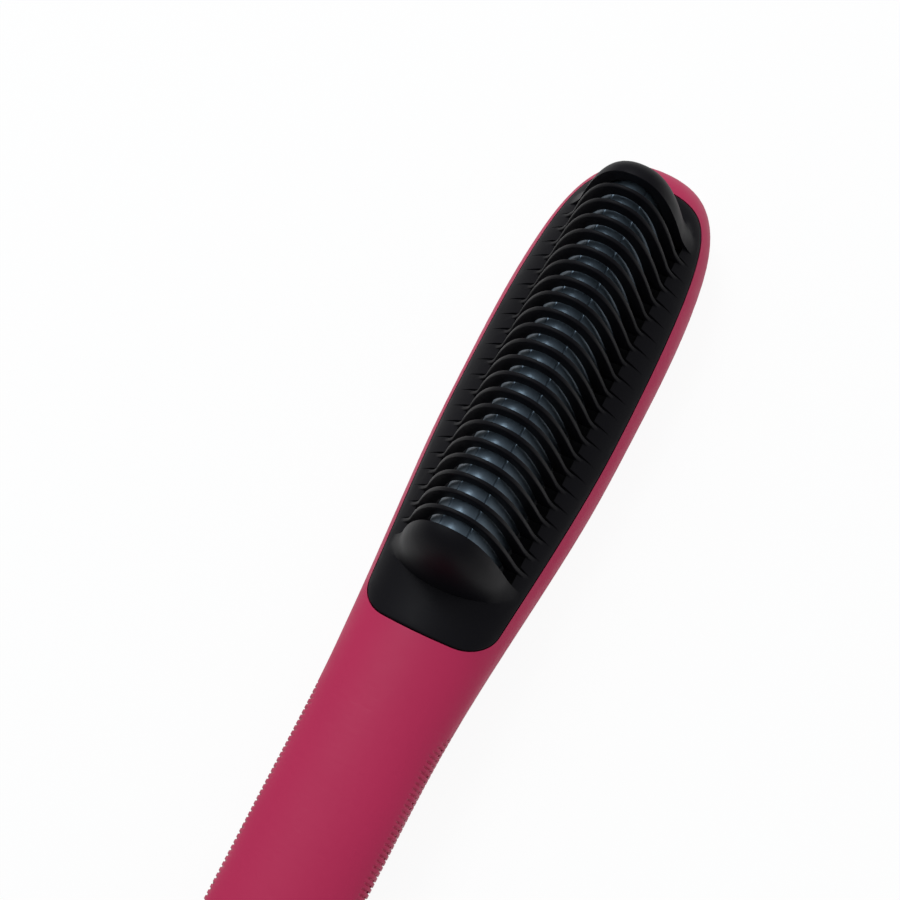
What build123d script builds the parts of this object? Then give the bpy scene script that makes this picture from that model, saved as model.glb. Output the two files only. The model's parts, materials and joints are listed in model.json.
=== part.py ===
from build123d import *
import os
from math import sqrt

os.makedirs("parts", exist_ok=True)

# Heated styling brush, in millimetres. X is the width and Y the length, with the head's tip at +Y.
# Z leaves the flat back, so the comb faces up and the back rests on Z = 0.

# Body
body_length = 268.0
head_reach = 68.9
neck_length = 100.0
head_width = 45.3
handle_width = 32.6
tail_width = 31.0
front_height = 29.0
palm_lift = 4.0
palm_start = 15.0
palm_length = 70.0
back_flat_share = 0.45
back_cut = 0.15
shell_wall = 2.2
tail_wall = 3.2
seam_gap = 0.2

# Height of the seam between the casings
head_seam_height = 13.5
handle_seam_height = 20.0
tail_seam_height = 16.0
seam_rise_start = 20.0
seam_rise_length = 90.0

# Rounding of the two ends
tip_power = 4.2
tip_root = 2.8
tip_edge_power = 8.0
tail_round = 14.0
tail_power = 2.5
tail_open_share = 0.8
tail_settle = 34.0

# Cord swivel
swivel_reach = 7.0
swivel_collar_radius = 8.0
swivel_collar_length = 2.0
swivel_collar_gap = 0.3
swivel_end_radius = 6.6
swivel_neck_radius = 6.4
swivel_flange_radius = 8.6
swivel_flange = 2.0
swivel_spigot_radius = 5.2
swivel_spigot = 13.0
cord_bore_radius = 3.2
swivel_clearance = 0.06
spigot_gap = 0.3
rib_thickness = 1.6
ring_radius = 5.9
ring_width = 1.6
ring_fit = 0.02
contact_post_radius = 1.5
contact_post_x = 4.0
contact_post_ahead = 1.0
contact_from_wall = 10.0
contact_half_spacing = 2.4
contact_tail_margin = 2.0
contact_front_margin = 4.0
contact_floor = 4.2
contact_top = 8.0
contact_half = 6.5
spring_half = 3.4
spring_width = 1.2
spring_thickness = 0.4

# Comb
foot_height = 25.5
comb_rise = 24.5
comb_half_width = 14.2
arch_count = 21
arch_pitch = 4.4
arch_thickness = 1.0
arch_depth = 3.6
arch_edge_round = 0.35
arch_crown = 0.48
arch_shoulder = 0.66
arch_steps = 10
flare_start = 0.94
rib_root = 17.0
foot_flare = 3.4
foot_sink = 0.3
crease_reach = 4.9
crease_width = 1.3
crease_depth = 1.0
crease_end = 0.1
crease_margin = 0.9
hump_reach = 8.8
hump_wall = 2.4
hump_power = 2.3
rim_width = 1.8
rim_tip_width = 8.8
rim_tail_reach = 66.0
opening_power = 2.9
opening_root = 6.0
opening_bow = 1.8
opening_corner = 9.0
comb_gap = 0.2
comb_seat_gap = 0.05
comb_edge_round = 0.6
flange_thickness = 2.0
shelf_thickness = 1.8
shelf_width = 5.5
skirt_thickness = 0.9
bed_thickness = 0.8
well_end_gap = 0.6
boss_drop = 3.5
comb_boss_radius = 2.0
comb_pad_radius = 3.4
comb_pad_floor = 21.9
comb_pad_gap = 0.3
comb_screw_x = 9.0
comb_screw_inset = 2.0
comb_screw_top = 26.0
comb_screw_head_radius = 3.0

# Heater
heater_gap = 1.0
crown_half_width = 3.5
crown_groove = 0.5
heater_floor_drop = 5.0
heater_overlap = 1.4
heater_boss_radius = 2.6
bar_screw_x = 7.5
bar_screw_reach = 30.0
bar_screw_bite = 5.0
end_screw_x = 9.0
end_screw_reach = 52.3
end_screw_bite = 3.2
pilot_spare = 0.3
sensor_radius = 1.2
sensor_fit = 0.05
sensor_length = 7.0
sensor_depth = 6.0
sensor_height = 37.5
sensor_tip_gap = 0.1
thermal_fuse_radius = 1.9
thermal_fuse_length = 11.0
thermal_fuse_from_widest = 41.0
channel_gap = 0.3
channel_half_width = 5.5
channel_rise = 10.0
ceramic_thickness = 2.0
ceramic_length = 60.0
mica_thickness = 0.3
pressure_margin = 2.0
carrier_thickness = 3.0
carrier_half_width = 12.2
carrier_reach = 55.4
carrier_corner = 3.0
insulation_thickness = 1.0

# Board
board_height = 11.5
board_thickness = 1.6
board_width = 22.0
board_length = 76.0
board_screw_inset = 2.4
board_screw_reach = 35.4
board_screw_bite = 4.0
post_sink = 0.6
post_radius = 2.2
chip_half = 4.5
chip_thickness = 1.4
chip_lead_reach = 1.0
chip_lead_height = 0.4
chip_from_front = 20.0
capacitor_radius = 5.0
capacitor_length = 14.0
capacitor_round = 0.6
capacitor_x = -4.5
capacitor_from_front = 40.0
triac_x = (3.0, 10.0)
triac_thickness = 4.4
triac_height = 5.5
triac_tab_thickness = 1.2
triac_tab_height = 3.0
triac_from_front = 34.0
fuse_radius = 1.8
fuse_length = 8.0
fuse_x = 6.5
fuse_from_front = 46.0
coil_radius = 6.5
coil_bore_share = 0.4
coil_height = 5.0
coil_round = 1.0
coil_from_front = 60.0
lead_radius = 0.8
lead_lift = 0.02
lead_inner_x = 4.4
lead_outer_x = 5.6
board_from_widest = 84.0

# Controls on the back
window_from_widest = 98.0
window_width = 13.0
window_length = 20.0
window_ledge = 1.4
window_corner = 2.0
window_gap = 0.1
window_thickness = 1.0
display_margin = 0.5
button_gap = 0.12
button_proud = 0.8
small_button_radius = 4.2
power_button_radius = 5.2
plus_from_widest = 120.0
minus_from_widest = 131.0
power_from_widest = 143.0
button_flange = 0.8
button_rim = 0.9
button_lift = 0.05
button_spot_gap = 0.3
button_edge_round = 0.5
stem_length = 0.35
stem_radius = 1.6
switch_size = 6.0
switch_height = 3.4
switch_floor_thickness = 0.8
plunger_radius = 1.5
plunger_length = 2.3
plunger_gap = 0.1
display_face = 7.0
cut_spare = 0.5

# Screws
screw_radius = 1.25
screw_head_radius = 2.4
screw_head = 1.4
screw_fit = 0.05
screw_head_gap = 0.3
screw_bite = 5.0
screw_recess = 4.3
boss_radius = 3.4
rear_boss_radius = 3.6
boss_sink = 1.0
boss_wall_gap = 1.0
head_screw_reach = 30.0
handle_screw_reaches = (76.0, 169.0)
small_screw_radius = 0.9
small_screw_head_radius = 1.7
small_screw_head = 1.0
cross_reach = 0.7
cross_width = 0.2

total_length = body_length + swivel_reach
tip_y = total_length / 2
tail_y = tip_y - body_length
widest_y = tip_y - head_reach
head_half = head_width / 2


def blend(share):
    """Smooth step from 0 to 1."""
    share = min(max(share, 0.0), 1.0)
    return share * share * (3 - 2 * share)


def fraction(value, start, end):
    """Place of a value between two others, held between 0 and 1."""
    return min(max((value - start) / (end - start), 0.0), 1.0)


def plain_half_width(y):
    """Half-width before the two ends are rounded."""
    neck_y = widest_y - neck_length
    handle_half = (handle_width + (tail_width - handle_width) * fraction(y, neck_y, tail_y)) / 2
    return head_half + (handle_half - head_half) * blend((widest_y - y) / neck_length)


def seam_height(y):
    """Height of the seam, which is also the widest level of the body."""
    risen = blend((widest_y - seam_rise_start - y) / seam_rise_length)
    height = head_seam_height + (handle_seam_height - head_seam_height) * risen
    settled = blend((tail_y + tail_round + tail_settle - y) / tail_settle)
    return height + (tail_seam_height - height) * settled


def back_height(y):
    """Height of the back, which lifts off the table under the palm."""
    lifted = blend((widest_y - palm_start - y) / palm_length)
    settled = blend((tail_y + tail_round + tail_settle - y) / tail_settle)
    return palm_lift * lifted * (1 - settled)


def body_section(y, inset):
    """Half-width, seam height, rise, drop and half of the flat back at one station."""
    inner_tip = tip_y - inset
    ahead = fraction(y, widest_y, inner_tip)
    behind = tail_open_share * fraction(y, tail_y + tail_round, tail_y)
    tail = (1 - behind**tail_power) ** (1 / tail_power)
    half = (plain_half_width(y) - inset) * (1 - ahead**tip_power) ** (1 / tip_root) * tail
    edge = sqrt(1 - ahead**tip_edge_power) * tail
    seam = seam_height(y)
    rise = (front_height - inset - seam) * edge
    bottom = back_height(y) - back_cut if inset == 0 else back_height(y) + inset
    drop = (seam - bottom) * edge
    return half, seam, rise, drop, back_flat_share * half


def body_stations(inset, tail_inset):
    """Stations along Y, close together where the ends round off."""
    inner_tip = tip_y - inset
    stations = [tail_y + tail_inset + tail_round * share for share in (0.0, 0.14, 0.36, 0.66)]
    start = tail_y + tail_inset + tail_round
    steps = 10
    stations += [start + (widest_y - start) * step / steps for step in range(steps + 1)]
    for kept in (0.96, 0.87, 0.73, 0.55, 0.36, 0.18, 0.06):
        stations.append(widest_y + (inner_tip - widest_y) * (1 - kept**tip_root) ** (1 / tip_power))
    return stations


def quarter(x, z, reach, rise):
    """Quarter of an ellipse about (x, z), from its side to its top or bottom."""
    pull = 4 * (sqrt(2) - 1) / 3
    Bezier((x + reach, z), (x + reach, z + pull * rise), (x + pull * reach, z + rise), (x, z + rise))


def loft_body(inset, tail_inset):
    """Body solid, drawn in by the inset all round."""
    with BuildPart() as body:
        for y in body_stations(inset, tail_inset):
            half, seam, rise, drop, flat = body_section(y, inset)
            with BuildSketch(Plane.XZ.offset(-y)):
                with BuildLine():
                    quarter(0, seam, half, rise)
                    quarter(0, seam, -half, rise)
                    quarter(-flat, seam, flat - half, -drop)
                    Line((-flat, seam - drop), (flat, seam - drop))
                    quarter(flat, seam, half - flat, -drop)
                make_face()
        loft()
    return body.part


def below_seam(shift):
    """Everything below the seam, moved up by the shift."""
    reach = head_width
    with BuildPart() as region:
        with BuildSketch(Plane.YZ):
            with BuildLine():
                steps = 24
                start = tail_y - tail_round
                ys = [start + (tip_y + tail_round - start) * step / steps for step in range(steps + 1)]
                seam = Spline(*[(y, seam_height(y) + shift) for y in ys])
                Polyline(seam @ 0, (ys[0], -reach), (ys[-1], -reach), seam @ 1)
            make_face()
        extrude(amount=reach, both=True)
    return region.part


def opening_half(y, inset):
    """Half-width of the comb's opening at one station, drawn in by the inset."""
    ahead = fraction(y, widest_y, tip_y - rim_tip_width - inset)
    half = plain_half_width(y) - rim_width - inset
    return half * (1 - ahead**opening_power) ** (1 / opening_root)


def opening_face(inset):
    """Plan outline of the comb's opening, drawn in by the inset."""
    tip = tip_y - rim_tip_width - inset
    base = widest_y - rim_tail_reach + inset
    steps = 6
    ys = [base + (widest_y - base) * step / steps for step in range(steps + 1)]
    for kept in (0.98, 0.94, 0.87, 0.78, 0.66, 0.5, 0.25):
        ys.append(widest_y + (tip - widest_y) * (1 - kept**opening_root) ** (1 / opening_power))
    points = [(opening_half(y, inset), y) for y in ys] + [(0, tip)]
    lean = points[1][0] - points[0][0]
    with BuildSketch() as face:
        with BuildLine():
            right = Spline(*points, tangents=[(lean, ys[1] - ys[0]), (-1, 0)])
            mirror(about=Plane.YZ)
            ThreePointArc((-points[0][0], base), (0, base - opening_bow), right @ 0)
        make_face()
        fillet(face.vertices().group_by(Axis.Y)[0], opening_corner - inset)
    return face.sketch


def opening_prism(inset):
    """The opening's outline carried up through the whole comb."""
    return extrude(opening_face(inset), amount=foot_height + comb_rise, mode=Mode.PRIVATE)


def dropped_body(amount):
    """The body's outer form, moved straight down."""
    return outer_body.moved(Location((0, 0, -amount)))


def upright(radius, places, bottom, top, mode=Mode.ADD):
    """Upright cylinders between two heights."""
    with Locations(*[(x, y, (bottom + top) / 2) for x, y in places]):
        Cylinder(radius, top - bottom, mode=mode)


def block(x_range, y_range, z_range, mode=Mode.ADD):
    """Box between two values along each axis."""
    ranges = (x_range, y_range, z_range)
    with Locations(tuple((low + high) / 2 for low, high in ranges)):
        Box(*[high - low for low, high in ranges], mode=mode)


def add_screws(places, seat, point, radius, head_radius, head):
    """Cross-headed screws from the seat to the point, head on the far side of the seat."""
    outward = -1 if point > seat else 1
    face = seat + outward * head
    floor = face - outward * head / 2
    upright(radius, places, min(seat, point), max(seat, point))
    upright(head_radius, places, min(seat, face), max(seat, face))
    for x, y in places:
        reach, width = head_radius * cross_reach, head * cross_width
        for across, along in ((reach, width), (width, reach)):
            levels = (min(face, floor), max(face, floor))
            block((x - across, x + across), (y - along, y + along), levels, Mode.SUBTRACT)


# The outer form is cut flat where it rests
with BuildPart() as body_blank:
    add(loft_body(0, 0))
    split(bisect_by=Plane.XY)

outer_body = body_blank.part
inner_body = loft_body(shell_wall, tail_wall)
flange_floor = dropped_body(flange_thickness)

# Places along the body
base_y = widest_y - rim_tail_reach
arch_reach = arch_pitch * (arch_count + 1) / 2
arch_ys = [widest_y + arch_pitch * (index - (arch_count - 1) / 2) for index in range(arch_count)]
hump_face = arch_reach - arch_thickness / 2
seat_height = shell_wall + screw_recess
head_screw_x = head_half - shell_wall - boss_radius - boss_wall_gap
head_boss_top = foot_height - boss_drop
head_screw_places = [(side * head_screw_x, widest_y + reach) for side in (-1, 1)
                     for reach in (-head_screw_reach, head_screw_reach)]
handle_screw_places = [(0, widest_y - reach) for reach in handle_screw_reaches]
shell_screw_places = head_screw_places + handle_screw_places
comb_screw_places = [(side * comb_screw_x, base_y + comb_screw_inset) for side in (-1, 1)]
bar_screw_places = [(side * bar_screw_x, widest_y + end * bar_screw_reach)
                    for side in (-1, 1) for end in (-1, 1)]
end_screw_places = [(side * end_screw_x, widest_y + end * end_screw_reach)
                    for side in (-1, 1) for end in (-1, 1)]
heater_floor = foot_height - heater_floor_drop
carrier_floor = heater_floor - carrier_thickness
board_front_y = widest_y - board_from_widest
board_middle_y = board_front_y - board_length / 2
board_screw_places = [(side * (board_width / 2 - board_screw_inset), board_middle_y + end * board_screw_reach)
                      for side in (-1, 1) for end in (-1, 1)]
button_ys = {"plus": widest_y - plus_from_widest, "minus": widest_y - minus_from_widest,
             "power": widest_y - power_from_widest}
button_radii = {"plus": small_button_radius, "minus": small_button_radius, "power": power_button_radius}
window_y = widest_y - window_from_widest
palm_floor = palm_lift + shell_wall
rib_y = tail_y + tail_wall + swivel_flange + 4 * swivel_clearance
contact_ys = [tail_y + tail_wall + contact_from_wall + side * contact_half_spacing for side in (-1, 1)]
contact_post_places = [(side * contact_post_x, contact_ys[1] + contact_post_ahead) for side in (-1, 1)]


def window_prism(margin, spread, bottom, top):
    """Rounded window plate, spread past the clear window, less a margin."""
    with BuildPart() as plate:
        with BuildSketch(Plane.XY.offset(bottom)):
            with Locations((0, window_y)):
                reach = 2 * (spread - margin)
                RectangleRounded(window_width + reach, window_length + reach, window_corner + spread)
        extrude(amount=top - bottom)
    return plate.part


# Room for the ribs, their skirt and the heater, through the front casing's shelf
well_half = comb_half_width + skirt_thickness + comb_gap
well_reach = carrier_reach + well_end_gap
with BuildPart() as comb_well:
    block((-well_half, well_half), (widest_y - well_reach, widest_y + well_reach),
          (heater_floor - comb_seat_gap, front_height))

# Ledge under the comb's flange, as a ring inside the opening
with BuildPart() as shelf_ring:
    add(opening_prism(-rim_width))
    add(opening_prism(shelf_width), mode=Mode.SUBTRACT)
    add(comb_well.part, mode=Mode.SUBTRACT)

with BuildPart() as recess:
    add(opening_prism(0))
    add(dropped_body(flange_thickness + comb_seat_gap), mode=Mode.SUBTRACT)

with BuildPart() as under_shelf:
    add(inner_body)
    add(dropped_body(flange_thickness + shelf_thickness), mode=Mode.INTERSECT)

with BuildPart() as front_cavity:
    add(inner_body)
    add(shelf_ring.part, mode=Mode.SUBTRACT)
    add(under_shelf.part)

# Hole for the swivel's neck, through the tail wall
with BuildPart() as swivel_hole:
    with BuildSketch(Plane.XZ.offset(1 - tail_y)):
        with Locations((0, tail_seam_height)):
            Circle(swivel_neck_radius + swivel_clearance)
    extrude(amount=-(tail_wall + 2))

# Ribs that trap the swivel's flange behind the tail wall
with BuildPart() as swivel_rib:
    block((-head_half, head_half), (rib_y, rib_y + rib_thickness), (0, front_height))
    with BuildSketch(Plane.XZ.offset(-rib_y)):
        with Locations((0, tail_seam_height)):
            Circle(swivel_spigot_radius + spigot_gap)
    extrude(amount=-rib_thickness, mode=Mode.SUBTRACT)
    add(inner_body, mode=Mode.INTERSECT)

# Blank of each casing: the body above or below the seam
with BuildPart() as front_half:
    add(outer_body)
    add(below_seam(seam_gap / 2), mode=Mode.SUBTRACT)

with BuildPart() as rear_half:
    add(outer_body)
    add(below_seam(-seam_gap / 2), mode=Mode.INTERSECT)

# Posts and ribs inside the front casing
with BuildPart() as front_posts:
    upright(boss_radius, head_screw_places, head_seam_height - boss_sink, head_boss_top)
    upright(boss_radius, handle_screw_places, head_seam_height, front_height - shell_wall + cut_spare)
    upright(comb_pad_radius, comb_screw_places, comb_pad_floor, foot_height)
    add(swivel_rib.part)
    add(front_half.part, mode=Mode.INTERSECT)

# Front casing: rim round the comb and the plain front of the handle
with BuildPart() as front_shell:
    add(front_half.part)
    add(opening_prism(shelf_width), mode=Mode.SUBTRACT)
    add(front_cavity.part, mode=Mode.SUBTRACT)
    add(front_posts.part)
    add(comb_well.part, mode=Mode.SUBTRACT)
    add(recess.part, mode=Mode.SUBTRACT)
    for x, y in shell_screw_places:
        upright(screw_radius + screw_fit, [(x, y)], 0, seam_height(y) + screw_bite + 1, Mode.SUBTRACT)
    upright(comb_boss_radius + comb_gap, comb_screw_places, 0, front_height, Mode.SUBTRACT)
    add(swivel_hole.part, mode=Mode.SUBTRACT)
front_shell.part.label = "front_shell"
export_step(front_shell.part, "parts/front_shell.step")

# Posts and ribs inside the rear casing
with BuildPart() as rear_posts:
    upright(rear_boss_radius, shell_screw_places, 0, handle_seam_height)
    upright(post_radius, board_screw_places, palm_floor - post_sink, board_height)
    upright(contact_post_radius, contact_post_places, shell_wall - post_sink, contact_floor)
    add(swivel_rib.part)
    add(rear_half.part, mode=Mode.INTERSECT)

# Rear casing: back of the head and palm side of the handle, with seats for board and controls
with BuildPart() as rear_shell:
    add(rear_half.part)
    add(inner_body, mode=Mode.SUBTRACT)
    add(rear_posts.part)
    upright(screw_radius + screw_fit, shell_screw_places, 0, front_height, Mode.SUBTRACT)
    upright(screw_head_radius + screw_head_gap, shell_screw_places, 0, seat_height, Mode.SUBTRACT)
    upright(small_screw_radius + screw_fit, board_screw_places, palm_floor + cut_spare, board_height,
            Mode.SUBTRACT)
    for name, y in button_ys.items():
        upright(button_radii[name] + button_gap, [(0, y)], 0, palm_floor + cut_spare, Mode.SUBTRACT)
        upright(button_radii[name] + button_rim + button_spot_gap, [(0, y)], palm_floor,
                palm_floor + cut_spare, Mode.SUBTRACT)
    add(window_prism(-window_gap, 0, 0, palm_floor + cut_spare), mode=Mode.SUBTRACT)
    add(window_prism(-window_gap, window_ledge, 0, palm_lift + window_thickness), mode=Mode.SUBTRACT)
    add(swivel_hole.part, mode=Mode.SUBTRACT)
rear_shell.part.label = "rear_shell"
export_step(rear_shell.part, "parts/rear_shell.step")

with BuildPart() as shell_screws:
    for x, y in shell_screw_places:
        add_screws([(x, y)], seat_height, seam_height(y) + screw_bite, screw_radius, screw_head_radius,
                   screw_head)
shell_screws.part.label = "shell_screws"
export_step(shell_screws.part, "parts/shell_screws.step")


def arch_points(half, rise, reach):
    """Points along an arch's crest line, out to a share of its half-width."""
    shares = [reach * step / arch_steps for step in range(-arch_steps, arch_steps + 1)]
    rest = 1 - arch_crown - arch_shoulder
    return [(half * share, foot_height + rise * (1 - arch_crown * share**2 - arch_shoulder * share**4
                                                 - rest * share**6)) for share in shares]


def surface_height(x, y):
    """Height of the body's front at a place in plan."""
    half, seam, rise, _, _ = body_section(y, 0)
    return seam + rise * sqrt(1 - (x / half) ** 2)


def arch_lines(half, rise, foot_x, foot_z):
    """Lines of an arch whose feet run out to a place on the flange."""
    crest = Spline(*arch_points(half, rise, flare_start))
    for side, end in ((-1, 0), (1, 1)):
        Bezier(crest @ end, (side * half, foot_height), (side * foot_x, foot_z))


inner_half = comb_half_width - arch_depth
inner_rise = comb_rise - arch_depth
foot_reach = comb_half_width + foot_flare


def rib(y):
    """One rib of the comb, with flared feet that end inside the flange."""
    foot_z = surface_height(foot_reach, y) - foot_sink
    middle = surface_height(comb_half_width, y) - flange_thickness / 2
    with BuildPart() as piece:
        with BuildSketch(Plane.XZ.offset(-y)):
            with BuildLine():
                arch_lines(comb_half_width, comb_rise, foot_reach, foot_z)
                for side in (-1, 1):
                    Polyline((side * foot_reach, foot_z), (side * foot_reach, foot_z - foot_sink),
                             (side * comb_half_width, middle), (side * inner_half, middle),
                             (side * inner_half, foot_height))
                Spline(*arch_points(inner_half, inner_rise, 1))
            make_face()
        extrude(amount=arch_thickness / 2, both=True)
        fillet(piece.edges().filter_by(GeomType.BSPLINE).group_by(Axis.Z)[-1], arch_edge_round)
    return piece.part


def hump(side, inset, end_wall, flare):
    """Dome that closes one end of the comb, or the hollow inside it, flared least at its far end."""
    reach = hump_reach - end_wall
    with BuildPart() as dome:
        for kept in (1, 0.985, 0.94, 0.86, 0.75, 0.6, 0.44, 0.28, 0.14, 0.06):
            y = widest_y + side * (hump_face + reach * (1 - kept**hump_power) ** (1 / hump_power))
            half = (comb_half_width - inset) * kept
            foot_x = half + flare * kept
            foot_z = min(surface_height(foot_x, y), foot_height) - foot_sink
            with BuildSketch(Plane.XZ.offset(-y)):
                with BuildLine():
                    arch_lines(half, (comb_rise - inset) * kept, foot_x, foot_z)
                    Polyline((-foot_x, foot_z), (-foot_x, rib_root), (foot_x, rib_root), (foot_x, foot_z))
                make_face()
        loft()
    return dome.part


def crease(y):
    """Tapering crease on the flange beside one rib's foot, on its tip side."""
    start_x = comb_half_width - cut_spare
    room = opening_half(y, comb_gap) - crease_margin - comb_half_width
    tip_x = comb_half_width + min(crease_reach, room)
    near = y + arch_thickness / 2
    with BuildPart() as groove:
        for x, wide, deep in ((start_x, crease_width, crease_depth), (tip_x, crease_end, crease_end)):
            surface = surface_height(x, y)
            with BuildSketch(Plane.YZ.offset(x)):
                Polygon((near, surface + crease_width), (near + wide, surface + crease_width),
                        (near + wide / 3, surface - deep), align=None)
        loft(ruled=True)
    return groove.part


# Stubs under the comb's flange that take its screws
with BuildPart() as comb_bosses:
    upright(heater_boss_radius, end_screw_places, heater_floor, front_height)
    upright(comb_boss_radius, comb_screw_places, comb_pad_floor + comb_pad_gap, front_height)
    add(dropped_body(flange_thickness / 2), mode=Mode.INTERSECT)

# Inner wall and floor beside the heater, which close the comb below its flange
with BuildPart() as comb_skirt:
    skirt_half = comb_half_width + skirt_thickness
    bed_inner = inner_half - comb_gap
    for side in (-1, 1):
        wall = sorted((side * comb_half_width, side * skirt_half))
        bed = sorted((side * bed_inner, side * skirt_half))
        block(wall, (widest_y - hump_face, widest_y + hump_face), (heater_floor, front_height))
        block(bed, (widest_y - hump_face, widest_y + hump_face), (heater_floor, heater_floor + bed_thickness))
    add(dropped_body(flange_thickness / 2), mode=Mode.INTERSECT)

with BuildPart() as comb_humps:
    add(hump(1, 0, 0, foot_flare))
    add(hump(-1, 0, 0, foot_flare))
    add(opening_prism(comb_gap), mode=Mode.INTERSECT)
    add(flange_floor, mode=Mode.SUBTRACT)

# Comb insert: flange, ribs and the two closed humps in one moulding
with BuildPart() as comb_frame:
    add(outer_body)
    add(flange_floor, mode=Mode.SUBTRACT)
    add(opening_prism(comb_gap), mode=Mode.INTERSECT)
    fillet(comb_frame.faces().sort_by(Axis.Z)[-1].outer_wire().edges(), comb_edge_round)
    block((-comb_half_width, comb_half_width), (widest_y - hump_face, widest_y + hump_face),
          (0, front_height + 1), Mode.SUBTRACT)
    for groove in [crease(y) for y in arch_ys]:
        add(groove, mode=Mode.SUBTRACT)
        add(mirror(groove, about=Plane.YZ, mode=Mode.PRIVATE), mode=Mode.SUBTRACT)
    add(comb_skirt.part)
    add(comb_humps.part)
    add([rib(y) for y in arch_ys])
    add(hump(1, arch_depth, hump_wall, 0), mode=Mode.SUBTRACT)
    add(hump(-1, arch_depth, hump_wall, 0), mode=Mode.SUBTRACT)
    add(comb_bosses.part)
    upright(screw_radius + screw_fit, end_screw_places, heater_floor,
            heater_floor + end_screw_bite + pilot_spare, Mode.SUBTRACT)
    upright(screw_radius + screw_fit, comb_screw_places, comb_pad_floor, comb_screw_top + pilot_spare,
            Mode.SUBTRACT)
comb_frame.part.label = "comb_frame"
export_step(comb_frame.part, "parts/comb_frame.step")

with BuildPart() as comb_screws:
    add_screws(comb_screw_places, comb_pad_floor, comb_screw_top, screw_radius, comb_screw_head_radius,
               screw_head)
comb_screws.part.label = "comb_screws"
export_step(comb_screws.part, "parts/comb_screws.step")

# Heater bar: aluminium arch behind the ribs
heater_half = inner_half - heater_gap
heater_rise = inner_rise - heater_gap
heater_reach = hump_face + heater_overlap
channel_roof = heater_floor + channel_rise
with BuildPart() as heater_bar:
    with BuildSketch(Plane.XZ):
        with BuildLine():
            arch = Spline(*arch_points(heater_half, heater_rise, 1))
            Polyline(arch @ 0, (-heater_half, heater_floor), (heater_half, heater_floor), arch @ 1)
        make_face()
        with Locations((0, (heater_floor + channel_roof) / 2)):
            Rectangle(2 * channel_half_width, channel_rise, mode=Mode.SUBTRACT)
        share = crown_half_width / heater_half
        groove_z = arch_points(heater_half, heater_rise, share)[0][1]
        with Locations((-crown_half_width, groove_z), (crown_half_width, groove_z)):
            Rectangle(crown_groove, 2 * crown_groove, mode=Mode.SUBTRACT)
    extrude(amount=heater_reach, both=True)
    with Locations((0, -heater_reach + sensor_depth / 2, sensor_height)):
        Cylinder(sensor_radius + sensor_fit, sensor_depth, rotation=(90, 0, 0), mode=Mode.SUBTRACT)
    upright(screw_radius + screw_fit, [(x, y - widest_y) for x, y in bar_screw_places], heater_floor,
            heater_floor + bar_screw_bite + pilot_spare, Mode.SUBTRACT)
heater_bar.part.label = "heater_bar"
heater_bar.part.position = (0, widest_y, 0)
export_step(heater_bar.part, "parts/heater_bar.step")

with BuildPart() as temperature_sensor:
    sensor_y = widest_y - heater_reach + sensor_depth - sensor_length / 2 - sensor_tip_gap
    with Locations((0, sensor_y, sensor_height)):
        Cylinder(sensor_radius, sensor_length, rotation=(90, 0, 0))
temperature_sensor.part.label = "temperature_sensor"
export_step(temperature_sensor.part, "parts/temperature_sensor.step")

# Stack inside the bar's channel: heating plate, mica sheet and the bar that presses them up
plate_half = channel_half_width - channel_gap
plate_floor = channel_roof - ceramic_thickness
mica_floor = plate_floor - mica_thickness
with BuildPart() as ceramic_heater:
    block((-plate_half, plate_half), (widest_y - ceramic_length / 2, widest_y + ceramic_length / 2),
          (plate_floor, channel_roof))
ceramic_heater.part.label = "ceramic_heater"
export_step(ceramic_heater.part, "parts/ceramic_heater.step")

pressure_reach = ceramic_length / 2 + pressure_margin
with BuildPart() as mica_sheet:
    block((-plate_half, plate_half), (widest_y - pressure_reach, widest_y + pressure_reach),
          (mica_floor, plate_floor))
mica_sheet.part.label = "mica_sheet"
export_step(mica_sheet.part, "parts/mica_sheet.step")

with BuildPart() as pressure_bar:
    block((-plate_half, plate_half), (widest_y - pressure_reach, widest_y + pressure_reach),
          (heater_floor, mica_floor))
pressure_bar.part.label = "pressure_bar"
export_step(pressure_bar.part, "parts/pressure_bar.step")

# Thermal fuse with a flat foot, behind the pressure bar
fuse_y = widest_y - thermal_fuse_from_widest
with BuildPart() as thermal_fuse:
    with Locations((0, fuse_y, heater_floor + thermal_fuse_radius)):
        Cylinder(thermal_fuse_radius, thermal_fuse_length, rotation=(90, 0, 0))
    block((-thermal_fuse_radius, thermal_fuse_radius),
          (fuse_y - thermal_fuse_length / 2, fuse_y + thermal_fuse_length / 2),
          (heater_floor, heater_floor + thermal_fuse_radius))
thermal_fuse.part.label = "thermal_fuse"
export_step(thermal_fuse.part, "parts/thermal_fuse.step")

# Carrier plate that holds the bar up against the comb, and the sheet that shields the back
with BuildPart() as heater_carrier:
    with BuildSketch(Plane.XY.offset(carrier_floor)):
        with Locations((0, widest_y)):
            RectangleRounded(2 * carrier_half_width, 2 * carrier_reach, carrier_corner)
    extrude(amount=carrier_thickness)
    upright(screw_radius + screw_fit, bar_screw_places + end_screw_places, carrier_floor, heater_floor,
            Mode.SUBTRACT)
heater_carrier.part.label = "heater_carrier"
export_step(heater_carrier.part, "parts/heater_carrier.step")

with BuildPart() as insulation_sheet:
    block((-carrier_half_width, carrier_half_width), (widest_y - hump_face, widest_y + hump_face),
          (carrier_floor - insulation_thickness, carrier_floor))
    upright(screw_head_radius + screw_head_gap, bar_screw_places, carrier_floor - insulation_thickness,
            carrier_floor, Mode.SUBTRACT)
insulation_sheet.part.label = "insulation_sheet"
export_step(insulation_sheet.part, "parts/insulation_sheet.step")

with BuildPart() as heater_screws:
    add_screws(bar_screw_places, carrier_floor, heater_floor + bar_screw_bite, screw_radius,
               screw_head_radius, screw_head)
    add_screws(end_screw_places, carrier_floor, heater_floor + end_screw_bite, screw_radius,
               screw_head_radius, screw_head)
heater_screws.part.label = "heater_screws"
export_step(heater_screws.part, "parts/heater_screws.step")

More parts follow.
